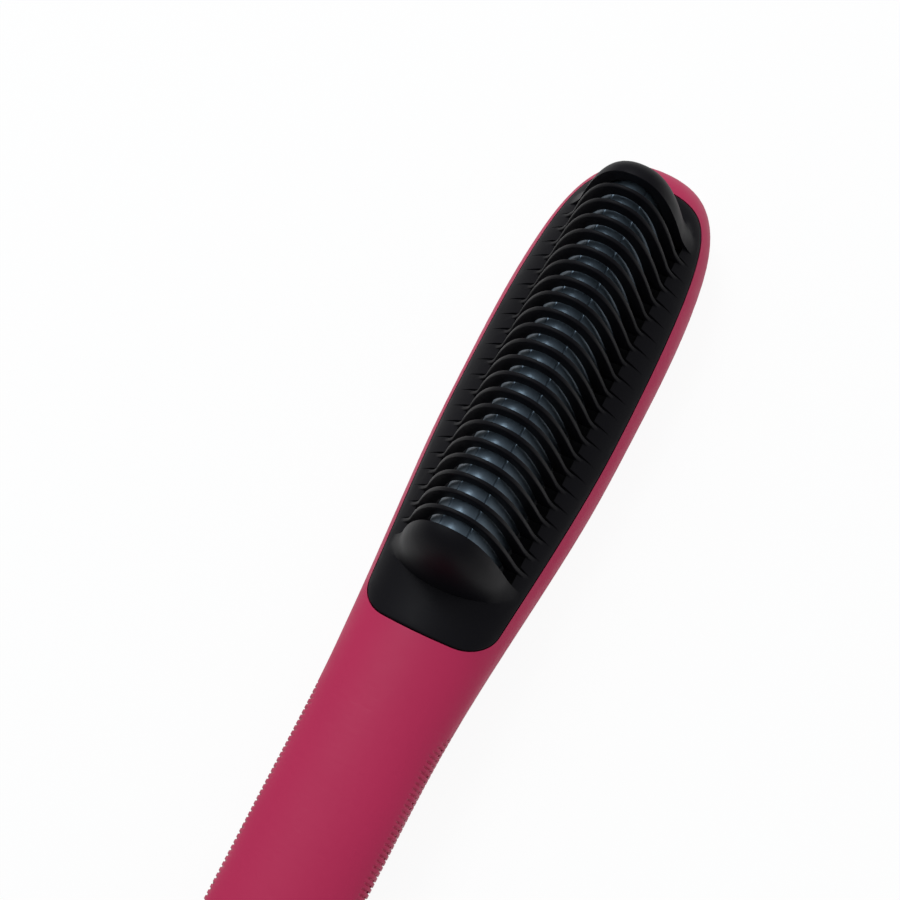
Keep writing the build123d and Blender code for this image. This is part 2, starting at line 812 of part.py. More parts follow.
# Main board on four posts
board_top = board_height + board_thickness
with BuildPart() as main_board:
    block((-board_width / 2, board_width / 2), (board_front_y - board_length, board_front_y),
          (board_height, board_top))
    upright(small_screw_radius + screw_fit, board_screw_places, board_height, board_top, Mode.SUBTRACT)
main_board.part.label = "main_board"
export_step(main_board.part, "parts/main_board.step")

with BuildPart() as board_screws:
    add_screws(board_screw_places, board_top, board_height - board_screw_bite, small_screw_radius,
               small_screw_head_radius, small_screw_head)
board_screws.part.label = "board_screws"
export_step(board_screws.part, "parts/board_screws.step")

# Components on the board's front
with BuildPart() as control_chip:
    chip_y = board_front_y - chip_from_front
    block((-chip_half, chip_half), (chip_y - chip_half, chip_y + chip_half),
          (board_top, board_top + chip_thickness))
    with Locations((0, chip_y, board_top + chip_lead_height / 2)):
        long, short = chip_half + chip_lead_reach, chip_half - chip_lead_reach
        for reach_x, reach_y in ((long, short), (short, long)):
            Box(2 * reach_x, 2 * reach_y, chip_lead_height)
control_chip.part.label = "control_chip"
export_step(control_chip.part, "parts/control_chip.step")

with BuildPart() as power_capacitor:
    with Locations((capacitor_x, board_front_y - capacitor_from_front, board_top + capacitor_radius)):
        Cylinder(capacitor_radius, capacitor_length, rotation=(90, 0, 0))
    fillet(power_capacitor.edges(), capacitor_round)
power_capacitor.part.label = "power_capacitor"
export_step(power_capacitor.part, "parts/power_capacitor.step")

with BuildPart() as triac:
    triac_back = board_front_y - triac_from_front - triac_thickness / 2
    triac_top = board_top + triac_height
    block(triac_x, (triac_back, triac_back + triac_thickness), (board_top, triac_top))
    block(triac_x, (triac_back, triac_back + triac_tab_thickness), (triac_top, triac_top + triac_tab_height))
triac.part.label = "triac"
export_step(triac.part, "parts/triac.step")

with BuildPart() as board_fuse:
    with Locations((fuse_x, board_front_y - fuse_from_front, board_top + fuse_radius)):
        Cylinder(fuse_radius, fuse_length, rotation=(90, 0, 0))
board_fuse.part.label = "board_fuse"
export_step(board_fuse.part, "parts/board_fuse.step")

with BuildPart() as filter_coil:
    coil_place = [(0, board_front_y - coil_from_front)]
    upright(coil_radius, coil_place, board_top, board_top + coil_height)
    upright(coil_radius * coil_bore_share, coil_place, board_top, board_top + coil_height, Mode.SUBTRACT)
    fillet(filter_coil.edges(), coil_round)
filter_coil.part.label = "filter_coil"
export_step(filter_coil.part, "parts/filter_coil.step")

# Display under the board, and its window set flush in the palm side
with BuildPart() as display_module:
    display_half = window_width / 2 - display_margin
    display_reach = window_length / 2 - display_margin
    block((-display_half, display_half), (window_y - display_reach, window_y + display_reach),
          (display_face, board_height))
display_module.part.label = "display_module"
export_step(display_module.part, "parts/display_module.step")

with BuildPart() as display_window:
    add(window_prism(0, window_ledge, palm_lift, palm_lift + window_thickness))
    add(window_prism(0, 0, palm_lift, palm_floor - window_gap))
display_window.part.label = "display_window"
export_step(display_window.part, "parts/display_window.step")

# Buttons with their plungers, and the switches they press
button_face = palm_lift - button_proud
flange_seat = palm_floor + button_lift
stem_top = flange_seat + button_flange + stem_length
switch_floor = board_height - switch_height
for name, y in button_ys.items():
    with BuildPart() as button:
        upright(button_radii[name], [(0, y)], button_face, flange_seat)
        fillet(button.faces().sort_by(Axis.Z)[0].edges(), button_edge_round)
        upright(button_radii[name] + button_rim, [(0, y)], flange_seat, flange_seat + button_flange)
        upright(stem_radius, [(0, y)], flange_seat, stem_top)
    button.part.label = name + "_button"
    export_step(button.part, "parts/" + name + "_button.step")
    with BuildPart() as plunger:
        upright(plunger_radius, [(0, y)], stem_top, stem_top + plunger_length)
    plunger.part.label = name + "_plunger"
    export_step(plunger.part, "parts/" + name + "_plunger.step")

with BuildPart() as tact_switches:
    for y in button_ys.values():
        block((-switch_size / 2, switch_size / 2), (y - switch_size / 2, y + switch_size / 2),
              (switch_floor, board_height))
        upright(plunger_radius + plunger_gap, [(0, y)], switch_floor,
                board_height - switch_floor_thickness, Mode.SUBTRACT)
tact_switches.part.label = "tact_switches"
export_step(tact_switches.part, "parts/tact_switches.step")


def turned(lines):
    """Solid turned about the swivel's axis, from its half-profile of (radius, y) corners."""
    with BuildPart() as body:
        with BuildSketch(Plane.XY.offset(tail_seam_height)):
            with BuildLine():
                Polyline(*lines, close=True)
            make_face()
        revolve(axis=Axis((0, 0, tail_seam_height), (0, 1, 0)))
    return body.part


# Cord swivel, held behind the tail wall by its flange
collar_y = tail_y - swivel_collar_gap
flange_y = tail_y + tail_wall + swivel_clearance
spigot_end_y = flange_y + swivel_flange + swivel_spigot
with BuildPart() as cord_swivel:
    add(turned([(cord_bore_radius, -tip_y), (swivel_end_radius, -tip_y),
                (swivel_collar_radius, collar_y - swivel_collar_length), (swivel_collar_radius, collar_y),
                (swivel_neck_radius, collar_y), (swivel_neck_radius, flange_y),
                (swivel_flange_radius, flange_y), (swivel_flange_radius, flange_y + swivel_flange),
                (swivel_spigot_radius, flange_y + swivel_flange), (swivel_spigot_radius, spigot_end_y),
                (cord_bore_radius, spigot_end_y)]))
cord_swivel.part.label = "cord_swivel"
export_step(cord_swivel.part, "parts/cord_swivel.step")

ring_bore = swivel_spigot_radius + ring_fit
with BuildPart() as contact_rings:
    for y in contact_ys:
        add(turned([(ring_bore, y - ring_width / 2), (ring_radius, y - ring_width / 2),
                    (ring_radius, y + ring_width / 2), (ring_bore, y + ring_width / 2)]))
contact_rings.part.label = "contact_rings"
export_step(contact_rings.part, "parts/contact_rings.step")

# Contact block and the two leaf springs that wipe the rings
with BuildPart() as contact_block:
    block((-contact_half, contact_half),
          (contact_ys[0] - contact_tail_margin, contact_ys[1] + contact_front_margin),
          (contact_floor, contact_top))
contact_block.part.label = "contact_block"
export_step(contact_block.part, "parts/contact_block.step")

spring_top = tail_seam_height - ring_radius - swivel_clearance
with BuildPart() as contact_springs:
    for y in contact_ys:
        across = (y - spring_width / 2, y + spring_width / 2)
        block((-spring_half, spring_half), across, (spring_top - spring_thickness, spring_top))
        for side in (-1, 1):
            inner, outer = side * (spring_half - spring_thickness), side * spring_half
            block((min(inner, outer), max(inner, outer)), across, (contact_top, spring_top))
contact_springs.part.label = "contact_springs"
export_step(contact_springs.part, "parts/contact_springs.step")


def lead_pair(places):
    """Two insulated leads, one each side, along a straight, a bend and a straight."""
    with BuildPart() as pair:
        for side in (-1, 1):
            start, bend_start, first, second, bend_end, finish = [(side * x, y, z) for x, y, z in places]
            with BuildLine() as path:
                Line(start, bend_start)
                Bezier(bend_start, first, second, bend_end)
                Line(bend_end, finish)
            with BuildSketch(Plane(start, z_dir=path.line % 0)):
                Circle(lead_radius)
            sweep(path=path.line)
    return pair.part


lead_on_board = board_top + lead_radius + lead_lift
lead_on_carrier = heater_floor + lead_radius + lead_lift
with BuildPart() as heater_leads:
    add(lead_pair([(lead_inner_x, widest_y - pressure_reach - 1.0, lead_on_carrier),
                   (lead_inner_x, widest_y - 54.0, lead_on_carrier),
                   (lead_inner_x, widest_y - 66.0, lead_on_carrier),
                   (lead_outer_x, widest_y - 74.0, lead_on_board),
                   (lead_outer_x, board_front_y - 4.0, lead_on_board),
                   (lead_outer_x, board_front_y - 9.0, lead_on_board)]))
heater_leads.part.label = "heater_leads"
export_step(heater_leads.part, "parts/heater_leads.step")

board_rear_y = board_front_y - board_length
lead_on_block = contact_top + lead_radius + lead_lift
with BuildPart() as supply_leads:
    add(lead_pair([(lead_outer_x, contact_ys[1] + 1.0, lead_on_block),
                   (lead_outer_x, contact_ys[1] + 5.0, lead_on_block),
                   (lead_outer_x, contact_ys[1] + 12.0, lead_on_block),
                   (lead_outer_x, board_rear_y - 9.0, lead_on_board),
                   (lead_outer_x, board_rear_y - 2.0, lead_on_board),
                   (lead_outer_x, board_rear_y + 3.0, lead_on_board)]))
supply_leads.part.label = "supply_leads"
export_step(supply_leads.part, "parts/supply_leads.step")
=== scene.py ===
import json
import math

import bmesh
import bpy
from mathutils import Matrix, Vector


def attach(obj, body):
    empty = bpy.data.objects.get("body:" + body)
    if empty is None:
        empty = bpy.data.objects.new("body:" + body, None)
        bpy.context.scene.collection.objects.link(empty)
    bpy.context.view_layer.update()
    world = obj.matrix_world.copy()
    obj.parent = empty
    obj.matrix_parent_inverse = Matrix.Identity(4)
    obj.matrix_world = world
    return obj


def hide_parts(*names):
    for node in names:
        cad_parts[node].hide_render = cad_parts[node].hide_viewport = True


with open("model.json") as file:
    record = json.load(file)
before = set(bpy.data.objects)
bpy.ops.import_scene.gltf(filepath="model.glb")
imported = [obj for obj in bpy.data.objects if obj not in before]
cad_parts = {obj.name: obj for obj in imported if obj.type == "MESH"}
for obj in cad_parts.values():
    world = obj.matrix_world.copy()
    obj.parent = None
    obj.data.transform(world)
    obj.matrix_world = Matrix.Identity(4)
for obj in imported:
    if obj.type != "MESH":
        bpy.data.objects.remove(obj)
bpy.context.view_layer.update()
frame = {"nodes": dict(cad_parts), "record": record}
nodes = frame["nodes"]
scene = bpy.context.scene
scene.view_settings.view_transform = "Standard"

# Camera, fitted to the photograph: turned by two angles, rolled, and shifted in its own plane
PITCH, YAW, ROLL = (math.radians(angle) for angle in (16.46, 12.54, 28.02))
DISTANCE = 0.420
ASIDE, ALOFT = 0.022835, 0.015171
AIM = Vector((0.0, 0.0686, 0.0255))
LENS, SENSOR = 70.416, 36.0
CLIP_NEAR, CLIP_FAR = 0.01, 60.0

toward = Vector((math.cos(PITCH) * math.sin(YAW), -math.sin(PITCH),
                 math.cos(PITCH) * math.cos(YAW)))
level = Vector((math.cos(YAW), 0.0, -math.sin(YAW)))
upward = toward.cross(level)
right = math.cos(ROLL) * level + math.sin(ROLL) * upward
up = -math.sin(ROLL) * level + math.cos(ROLL) * upward

camera_data = bpy.data.cameras.new("camera")
camera_data.lens = LENS
camera_data.sensor_width = SENSOR
camera_data.sensor_fit = "HORIZONTAL"
camera_data.clip_start = CLIP_NEAR
camera_data.clip_end = CLIP_FAR
camera = bpy.data.objects.new("camera", camera_data)
scene.collection.objects.link(camera)
place = AIM - ASIDE * right - ALOFT * up + DISTANCE * toward
camera.matrix_world = Matrix.Translation(place) @ Matrix((right, up, toward)).transposed().to_4x4()
scene.camera = camera


# Materials. Noise values lie mostly between these two, so ramps and spans start and end there
NOISE_LOW, NOISE_HIGH = 0.3, 0.7

# Moulded plastic: scale, detail and roughness of its slow drift, and of the smudges in its gloss
DRIFT_NOISE, SMUDGE_NOISE, SMUDGE_BEND = (35.0, 3.0, 0.5), (90.0, 4.0, 0.55), 0.4
GRAIN_DETAIL, GRAIN_ROUGH, GRAIN_STRENGTH, COAT_ROUGH = 2.0, 0.6, 0.5, 0.2
PLASTIC_GLOSS = (-0.05, 0.06)

# Bare metal: its marks, its drift in colour and gloss, and the strength of its marks
MARK_NOISE, METAL_DRIFT_NOISE = (12.0, 4.0, 0.6), (60.0, 2.0)
METAL_SHADES, METAL_GLOSS, METAL_STRENGTH = (0.9, 1.05), (-0.08, 0.1), 0.4

# Heater coating: draw lines that run along the bar, colour drift, colours and gloss
LINE_STRETCH, LINE_NOISE, COAT_DRIFT_NOISE = (1.0, 0.02, 1.0), (420.0, 2.0, 0.5), (60.0, 2.0, 0.5)
COAT_DARK, COAT_PALE = (0.105, 0.140, 0.175), (0.118, 0.156, 0.194)
COAT_DARK_AT, COAT_PALE_AT = 0.35, 0.65
COAT_GLOSS, COAT_METAL, COAT_SPECULAR = (0.40, 0.46), 0.95, 0.5

# Board: mask, copper under it, size of the traces and their relief
MASK_GREENS, TRACE_GREEN = ((0.010, 0.085, 0.035), (0.008, 0.070, 0.030)), (0.020, 0.130, 0.050)
TRACE_SCALE, TRACE_WIDTH, TRACE_STRENGTH, TRACE_RELIEF = 300.0, 0.06, 0.3, 0.00003
MASK_SCALE, MASK_GLOSS = 200.0, (0.25, 0.4)

# Glass and woven sheet
WIPE_NOISE, WIPE_BEND = (150.0, 3.0, 0.5), 1.0
WIPE_SHADE, WIPE_GLOSS, GLASS_SPECULAR = 0.85, 0.05, 0.6
# The weave's low parts between threads are painted darker: painted shade in its hollows
THREAD_BEND, THREAD_GAP_PAINTED_SHADE, THREAD_TOP = 0.6, 0.7, 0.6
THREAD_STRENGTH, THREAD_RELIEF, THREAD_GLOSS = 0.6, 0.0001, (0.75, 0.9)


def new_material(name):
    """A node material, its tree and its principled shader."""
    material = bpy.data.materials.new(name)
    material.use_nodes = True
    tree = material.node_tree
    return material, tree, tree.nodes["Principled BSDF"]


def coords(tree):
    """Object coordinates, in metres of the shared frame."""
    return tree.nodes.new("ShaderNodeTexCoord").outputs["Object"]


def noise(tree, scale, detail=2.0, rough=0.5, vector=None, distortion=0.0):
    """Noise texture's value."""
    node = tree.nodes.new("ShaderNodeTexNoise")
    node.inputs["Scale"].default_value = scale
    node.inputs["Detail"].default_value = detail
    node.inputs["Roughness"].default_value = rough
    node.inputs["Distortion"].default_value = distortion
    tree.links.new(vector or coords(tree), node.inputs["Vector"])
    return node.outputs["Fac"]


def ramp(tree, value, stops):
    """Colour ramp through (position, colour) stops."""
    node = tree.nodes.new("ShaderNodeValToRGB")
    elements = node.color_ramp.elements
    while len(elements) < len(stops):
        elements.new(0.5)
    for element, (position, color) in zip(elements, stops):
        element.position = position
        element.color = (*color, 1.0)
    tree.links.new(value, node.inputs["Fac"])
    return node.outputs["Color"]


def span(tree, value, low, high, start, end):
    """Value remapped from one range to another."""
    node = tree.nodes.new("ShaderNodeMapRange")
    limits = (("From Min", start), ("From Max", end), ("To Min", low), ("To Max", high))
    for name, number in limits:
        node.inputs[name].default_value = number
    tree.links.new(value, node.inputs["Value"])
    return node.outputs["Result"]


def bump(tree, height, strength, distance):
    """Bump from a height value, distance in metres."""
    node = tree.nodes.new("ShaderNodeBump")
    node.inputs["Strength"].default_value = strength
    node.inputs["Distance"].default_value = distance
    tree.links.new(height, node.inputs["Height"])
    return node.outputs["Normal"]


def shade(color, factor):
    """Colour scaled by a factor."""
    return tuple(min(channel * factor, 1.0) for channel in color)


def paint(tree, shader, value, dark, pale, low=NOISE_LOW, high=NOISE_HIGH):
    """Base colour that runs from dark to pale with a value."""
    tree.links.new(ramp(tree, value, ((low, dark), (high, pale))), shader.inputs["Base Color"])


def polish(tree, shader, value, low, high, start=NOISE_LOW, end=NOISE_HIGH):
    """Roughness that runs from low to high with a value."""
    tree.links.new(span(tree, value, low, high, start, end), shader.inputs["Roughness"])


def plastic(name, color, rough, grain_scale, grain_depth, specular=0.5, mottle=0.06, coat=0.0):
    """Moulded plastic: fine spark-eroded grain, slow colour drift and uneven gloss."""
    material, tree, shader = new_material(name)
    drift = noise(tree, *DRIFT_NOISE)
    paint(tree, shader, drift, shade(color, 1 - mottle), shade(color, 1 + mottle))
    smudge = noise(tree, *SMUDGE_NOISE, distortion=SMUDGE_BEND)
    polish(tree, shader, smudge, *(rough + step for step in PLASTIC_GLOSS))
    grain = noise(tree, grain_scale, GRAIN_DETAIL, GRAIN_ROUGH)
    tree.links.new(bump(tree, grain, GRAIN_STRENGTH, grain_depth), shader.inputs["Normal"])
    shader.inputs["Specular IOR Level"].default_value = specular
    shader.inputs["Coat Weight"].default_value = coat
    shader.inputs["Coat Roughness"].default_value = COAT_ROUGH
    return material


def metal(name, color, rough, brush=(60.0, 60.0, 60.0), depth=0.00002):
    """Bare metal with fine directional marks and uneven polish."""
    material, tree, shader = new_material(name)
    mapping = tree.nodes.new("ShaderNodeMapping")
    mapping.inputs["Scale"].default_value = brush
    tree.links.new(coords(tree), mapping.inputs["Vector"])
    marks = noise(tree, *MARK_NOISE, mapping.outputs["Vector"])
    drift = noise(tree, *METAL_DRIFT_NOISE)
    paint(tree, shader, drift, *(shade(color, factor) for factor in METAL_SHADES))
    polish(tree, shader, marks, *(rough + step for step in METAL_GLOSS))
    tree.links.new(bump(tree, marks, METAL_STRENGTH, depth), shader.inputs["Normal"])
    shader.inputs["Metallic"].default_value = 1.0
    return material


CRIMSON = (0.445, 0.0215, 0.0830)
SATIN_BLACK = (0.0042, 0.0039, 0.0054)
body_plastic = plastic("crimson_plastic", CRIMSON, 0.50, 5200.0, 0.000006,
                       specular=0.18, mottle=0.02)
comb_plastic = plastic("black_comb_plastic", SATIN_BLACK, 0.48, 4200.0, 0.000006,
                       specular=0.08, mottle=0.10)


def heater_coating():
    """Smooth blue-black coating over an extruded bar, with long faint draw lines in its gloss."""
    material, tree, shader = new_material("heater_ceramic_coating")
    mapping = tree.nodes.new("ShaderNodeMapping")
    mapping.inputs["Scale"].default_value = LINE_STRETCH
    tree.links.new(coords(tree), mapping.inputs["Vector"])
    lines = noise(tree, *LINE_NOISE, mapping.outputs["Vector"])
    drift = noise(tree, *COAT_DRIFT_NOISE)
    paint(tree, shader, drift, COAT_DARK, COAT_PALE, COAT_DARK_AT, COAT_PALE_AT)
    polish(tree, shader, lines, *COAT_GLOSS)
    shader.inputs["Metallic"].default_value = COAT_METAL
    shader.inputs["Specular IOR Level"].default_value = COAT_SPECULAR
    return material


def board_material():
    """Green solder mask with copper traces under it."""
    material, tree, shader = new_material("board_solder_mask")
    brick = tree.nodes.new("ShaderNodeTexBrick")
    brick.inputs["Scale"].default_value = TRACE_SCALE
    brick.inputs["Mortar Size"].default_value = TRACE_WIDTH
    for entry, color in zip(("Color1", "Color2", "Mortar"), (*MASK_GREENS, TRACE_GREEN)):
        brick.inputs[entry].default_value = (*color, 1.0)
    tree.links.new(coords(tree), brick.inputs["Vector"])
    tree.links.new(brick.outputs["Color"], shader.inputs["Base Color"])
    tree.links.new(bump(tree, brick.outputs["Fac"], TRACE_STRENGTH, TRACE_RELIEF),
                   shader.inputs["Normal"])
    polish(tree, shader, noise(tree, MASK_SCALE), *MASK_GLOSS)
    return material


def glass(name, color, rough, alpha):
    """Smoked or clear glass with faint wipe marks."""
    material, tree, shader = new_material(name)
    wipe = noise(tree, *WIPE_NOISE, distortion=WIPE_BEND)
    paint(tree, shader, wipe, shade(color, WIPE_SHADE), color)
    polish(tree, shader, wipe, rough, rough + WIPE_GLOSS)
    shader.inputs["Alpha"].default_value = alpha
    shader.inputs["Specular IOR Level"].default_value = GLASS_SPECULAR
    return material


def woven(name, color, scale):
    """Woven sheet with crossing threads, painted darker in the low parts between them as painted
    shade.
    """
    material, tree, shader = new_material(name)
    heights = []
    for direction in ("X", "Y"):
        wave = tree.nodes.new("ShaderNodeTexWave")
        wave.bands_direction = direction
        wave.inputs["Scale"].default_value = scale
        wave.inputs["Distortion"].default_value = THREAD_BEND
        tree.links.new(coords(tree), wave.inputs["Vector"])
        heights.append(wave.outputs["Fac"])
    cross = tree.nodes.new("ShaderNodeMath")
    cross.operation = "MULTIPLY"
    tree.links.new(heights[0], cross.inputs[0])
    tree.links.new(heights[1], cross.inputs[1])
    height = cross.outputs[0]
    # Painted shade: the colour darkens where the crossing threads are low
    paint(tree, shader, height, shade(color, THREAD_GAP_PAINTED_SHADE), color, 0.0, THREAD_TOP)
    tree.links.new(bump(tree, height, THREAD_STRENGTH, THREAD_RELIEF), shader.inputs["Normal"])
    polish(tree, shader, heights[0], *THREAD_GLOSS, 0.0, 1.0)
    return material


steel = metal("zinc_steel", (0.56, 0.57, 0.60), 0.34)
brass = metal("contact_brass", (0.68, 0.46, 0.17), 0.28)
slot_materials = {
    "body_plastic": body_plastic,
    "comb_plastic": comb_plastic,
    "heater_coating": heater_coating(),
    "heating_ceramic": plastic("white_ceramic", (0.72, 0.71, 0.66), 0.5, 2600.0, 0.00001),
    "mica": plastic("mica_sheet", (0.42, 0.30, 0.14), 0.3, 700.0, 0.00003, mottle=0.3),
    "bar_aluminium": metal("extruded_aluminium", (0.70, 0.71, 0.73), 0.38, (60.0, 2.0, 60.0)),
    "carrier_plastic": plastic("carrier_plastic", (0.018, 0.018, 0.020),
                               0.55, 1800.0, 0.00003, mottle=0.2),
    "insulation": woven("glass_weave", (0.62, 0.60, 0.54), 900.0),
    "screw_steel": steel,
    "fuse_can": metal("drawn_can", (0.66, 0.67, 0.69), 0.3, (60.0, 3.0, 60.0)),
    "sensor_glass": plastic("sensor_bead", (0.55, 0.45, 0.32), 0.25, 2600.0, 0.00001, mottle=0.15),
    "board": board_material(),
    "chip_plastic": plastic("chip_plastic", (0.012, 0.012, 0.012),
                            0.55, 6000.0, 0.00001, mottle=0.2),
    "capacitor_sleeve": plastic("capacitor_sleeve", (0.010, 0.015, 0.055),
                                0.22, 900.0, 0.00001, coat=0.4),
    "fuse_glass": glass("fuse_glass", (0.85, 0.88, 0.88), 0.05, 0.45),
    "coil_ferrite": plastic("coil_ferrite", (0.030, 0.030, 0.030),
                            0.6, 2200.0, 0.00003, mottle=0.25),
    "display_black": plastic("display_black", (0.008, 0.008, 0.010),
                             0.15, 900.0, 0.000004, mottle=0.1),
    "window_glass": glass("window_smoked", (0.010, 0.010, 0.013), 0.06, 0.9),
    "button_plastic": plastic("button_plastic", (0.010, 0.010, 0.011),
                              0.45, 3800.0, 0.000015, mottle=0.15),
    "plunger_plastic": plastic("plunger_plastic", (0.62, 0.61, 0.58), 0.45, 2600.0, 0.00001),
    "swivel_plastic": plastic("swivel_plastic", (0.010, 0.010, 0.011),
                              0.42, 3800.0, 0.000015, mottle=0.15),
    "contact_brass": brass,
    "block_plastic": plastic("block_plastic", (0.30, 0.27, 0.20), 0.5, 2200.0, 0.00002, mottle=0.1),
    "heater_lead_cover": plastic("heater_lead_silicone", (0.62, 0.61, 0.58), 0.5, 1800.0, 0.00002),
    "supply_lead_cover": plastic("supply_lead_silicone", (0.020, 0.045, 0.200),
                                 0.5, 1800.0, 0.00002),
}

node_slots = {part["node"]: part["material_slot"] for part in frame["record"]["subparts"]}
for name, obj in nodes.items():
    for slot in obj.material_slots:
        slot.material = slot_materials[node_slots[name]]


# Visible skins of the casings and the comb, from the frame's own meshes
SHARP = math.radians(32)
MERGE_DISTANCE, CUT_DISTANCE = 1e-6, 1e-7


def merged_mesh(name):
    """The node's mesh with its faces joined along their shared edges."""
    made = bmesh.new()
    made.from_mesh(nodes[name].data)
    bmesh.ops.remove_doubles(made, verts=made.verts, dist=MERGE_DISTANCE)
    return made


def skin(name, made, piece_name):
    """Piece that shows in place of the node, smooth except along sharp edges."""
    for face in made.faces:
        face.smooth = True
    for edge in made.edges:
        edge.smooth = edge.calc_face_angle(0.0) < SHARP
    mesh = bpy.data.meshes.new(piece_name)
    made.to_mesh(mesh)
    made.free()
    mesh.materials.append(slot_materials[node_slots[name]])
    piece = bpy.data.objects.new(piece_name, mesh)
    scene.collection.objects.link(piece)
    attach(piece, "housing")
    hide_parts(name)


# Grip grooves round the handle, in metres: their form, with the floor as a share of the width
GROOVE_PITCH, GROOVE_WIDTH, GROOVE_DEPTH = 0.00135, 0.00058, 0.00042
GROOVE_FLOOR = 0.50
# The area they cover, with its rounded corner towards the head and the run-out at its edge
GRIP_START, GRIP_END = -0.0139, -0.1165
GRIP_TOP, GRIP_CORNER, GRIP_FADE = 0.0236, 0.010, 0.0007
# The heights between which they get shallower, and the share of the depth that is left on top
SHALLOW_LOW, SHALLOW_HIGH, SHALLOW_SHARE = 0.0160, 0.0215, 0.80
# The smooth island round the keys and the window, on the back
ISLAND_HALF, ISLAND_END, ISLAND_HEIGHT = 0.0099, -0.0896, 0.010


def reach(face, axis):
    """Lowest and highest corner of a face along an axis."""
    places = [vert.co[axis] for vert in face.verts]
    return min(places), max(places)


def outer_faces(made, low, high):
    """Outer faces between two stations: those that run on smoothly from the widest one."""
    def inside(face):
        nearest, farthest = reach(face, 1)
        return farthest > low and nearest < high

    seed = max(filter(inside, made.faces), key=lambda face: face.calc_center_median().x)
    found, waiting = {seed}, [seed]
    while waiting:
        for edge in waiting.pop().edges:
            if edge.calc_face_angle(math.pi) < SHARP:
                for face in edge.link_faces:
                    if face not in found and inside(face):
                        found.add(face)
                        waiting.append(face)
    return found


def cut_faces(made, faces, axis, level):
    """Cuts faces across an axis at a level and gives the faces they became."""
    normal = [0.0, 0.0, 0.0]
    normal[axis] = 1.0
    edges = {edge for face in faces for edge in face.edges}
    verts = {vert for face in faces for vert in face.verts}
    point = [level * part for part in normal]
    result = bmesh.ops.bisect_plane(made, geom=[*verts, *edges, *faces], dist=CUT_DISTANCE,
                                    plane_co=point, plane_no=normal)
    return {item for item in result["geom"] if isinstance(item, bmesh.types.BMFace)}


def crossing(faces, axis, level):
    """Faces with corners on both sides of a level."""
    ends = {face: reach(face, axis) for face in faces}
    return {face for face, (low, high) in ends.items() if low < level < high}


def share(number):
    """Number kept between 0 and 1."""
    return min(max(number, 0.0), 1.0)


def groove_depth(place):
    """Depth of the grip grooves at a place on the outer surface."""
    turns = (GRIP_START - place.y) / GROOVE_PITCH
    off = abs(turns - round(turns)) * GROOVE_PITCH / GROOVE_WIDTH
    wall = share((0.5 - off) / (0.5 - GROOVE_FLOOR / 2))
    along = share((GRIP_START - place.y) / GRIP_CORNER)
    top = GRIP_TOP - GRIP_CORNER * (1 - math.sqrt(1 - (1 - along) ** 2))
    below = share((top - place.z) / GRIP_FADE)
    rise = share((place.z - SHALLOW_LOW) / (SHALLOW_HIGH - SHALLOW_LOW))
    beside = 1.0
    if place.y > ISLAND_END and place.z < ISLAND_HEIGHT:
        beside = share((abs(place.x) - ISLAND_HALF) / GRIP_FADE)
    return GROOVE_DEPTH * wall * below * beside * (1 - (1 - SHALLOW_SHARE) * rise)


def add_grip(made):
    """Cuts the grip grooves into a casing's outer surface."""
    low, high = GRIP_END - GROOVE_PITCH, GRIP_START + GROOVE_PITCH
    outer = outer_faces(made, low, high)
    heights = (SHALLOW_LOW, (SHALLOW_LOW + SHALLOW_HIGH) / 2, SHALLOW_HIGH,
               GRIP_TOP - GRIP_FADE, GRIP_TOP)
    sides = (-ISLAND_HALF - GRIP_FADE, -ISLAND_HALF, ISLAND_HALF, ISLAND_HALF + GRIP_FADE)
    for axis, levels in ((2, heights), (0, sides)):
        for level in levels:
            crossed = crossing(outer, axis, level)
            if crossed:
                outer = (outer - crossed) | cut_faces(made, crossed, axis, level)
    stations = [GRIP_START - index * GROOVE_PITCH + part * GROOVE_WIDTH
                for index in range(int((GRIP_START - GRIP_END) / GROOVE_PITCH) + 1)
                for part in (0.5, GROOVE_FLOOR / 2, -GROOVE_FLOOR / 2, -0.5)]
    waiting = sorted(outer, key=lambda face: reach(face, 1)[1])
    active, moved = set(), {vert for face in outer for vert in face.verts}
    for station in stations:
        while waiting and reach(waiting[-1], 1)[1] > station:
            active.add(waiting.pop())
        crossed = crossing(active, 1, station)
        if crossed:
            parts = cut_faces(made, crossed, 1, station)
            moved |= {vert for face in parts for vert in face.verts}
            active = (active - crossed) | parts
        active = {face for face in active if reach(face, 1)[0] < station - CUT_DISTANCE}
    made.normal_update()
    moves = [(vert, vert.normal * groove_depth(vert.co)) for vert in moved
             if GRIP_END - GROOVE_WIDTH < vert.co.y < GRIP_START + GROOVE_WIDTH]
    for vert, move in moves:
        vert.co -= move


for name, piece_name in (("front_shell", "front_casing"), ("rear_shell", "rear_casing")):
    casing = merged_mesh(name)
    add_grip(casing)
    skin(name, casing, piece_name)
skin("comb_frame", merged_mesh("comb_frame"), "comb_insert")

# Raised plus, minus and power marks on the keys, in metres
MARK_HALF, MARK_STROKE, MARK_RISE, MARK_SUNK = 0.0017, 0.00055, 0.00008, 0.00005
# The power mark's open ring, with half its gap in degrees, and the ends of its stem
RING_RADIUS, RING_GAP, RING_STEPS = 0.0019, 35, 40
STEM_LOW, STEM_HIGH = 0.0004, 0.0024


def add_stroke(made, first_line, second_line, face):
    """Flat-topped stroke between two lines of points, standing on a key's face."""
    rings = []
    for line in (first_line, second_line):
        for z in (face + MARK_SUNK, face - MARK_RISE):
            rings.append([made.verts.new((x, y, z)) for x, y in line])
    deep_left, proud_left, deep_right, proud_right = rings
    sides = ((proud_left, proud_right), (deep_left, proud_left),
             (deep_right, deep_left), (proud_right, deep_right))
    for first, second in sides:
        for index in range(len(first) - 1):
            made.faces.new((first[index], first[index + 1], second[index + 1], second[index]))
    for end in (0, -1):
        made.faces.new((deep_left[end], proud_left[end], proud_right[end], deep_right[end]))


def add_bar(made, center, half_x, half_y, face):
    """Straight stroke about a centre."""
    x, y = center
    add_stroke(made, [(x - half_x, y - half_y), (x - half_x, y + half_y)],
               [(x + half_x, y - half_y), (x + half_x, y + half_y)], face)


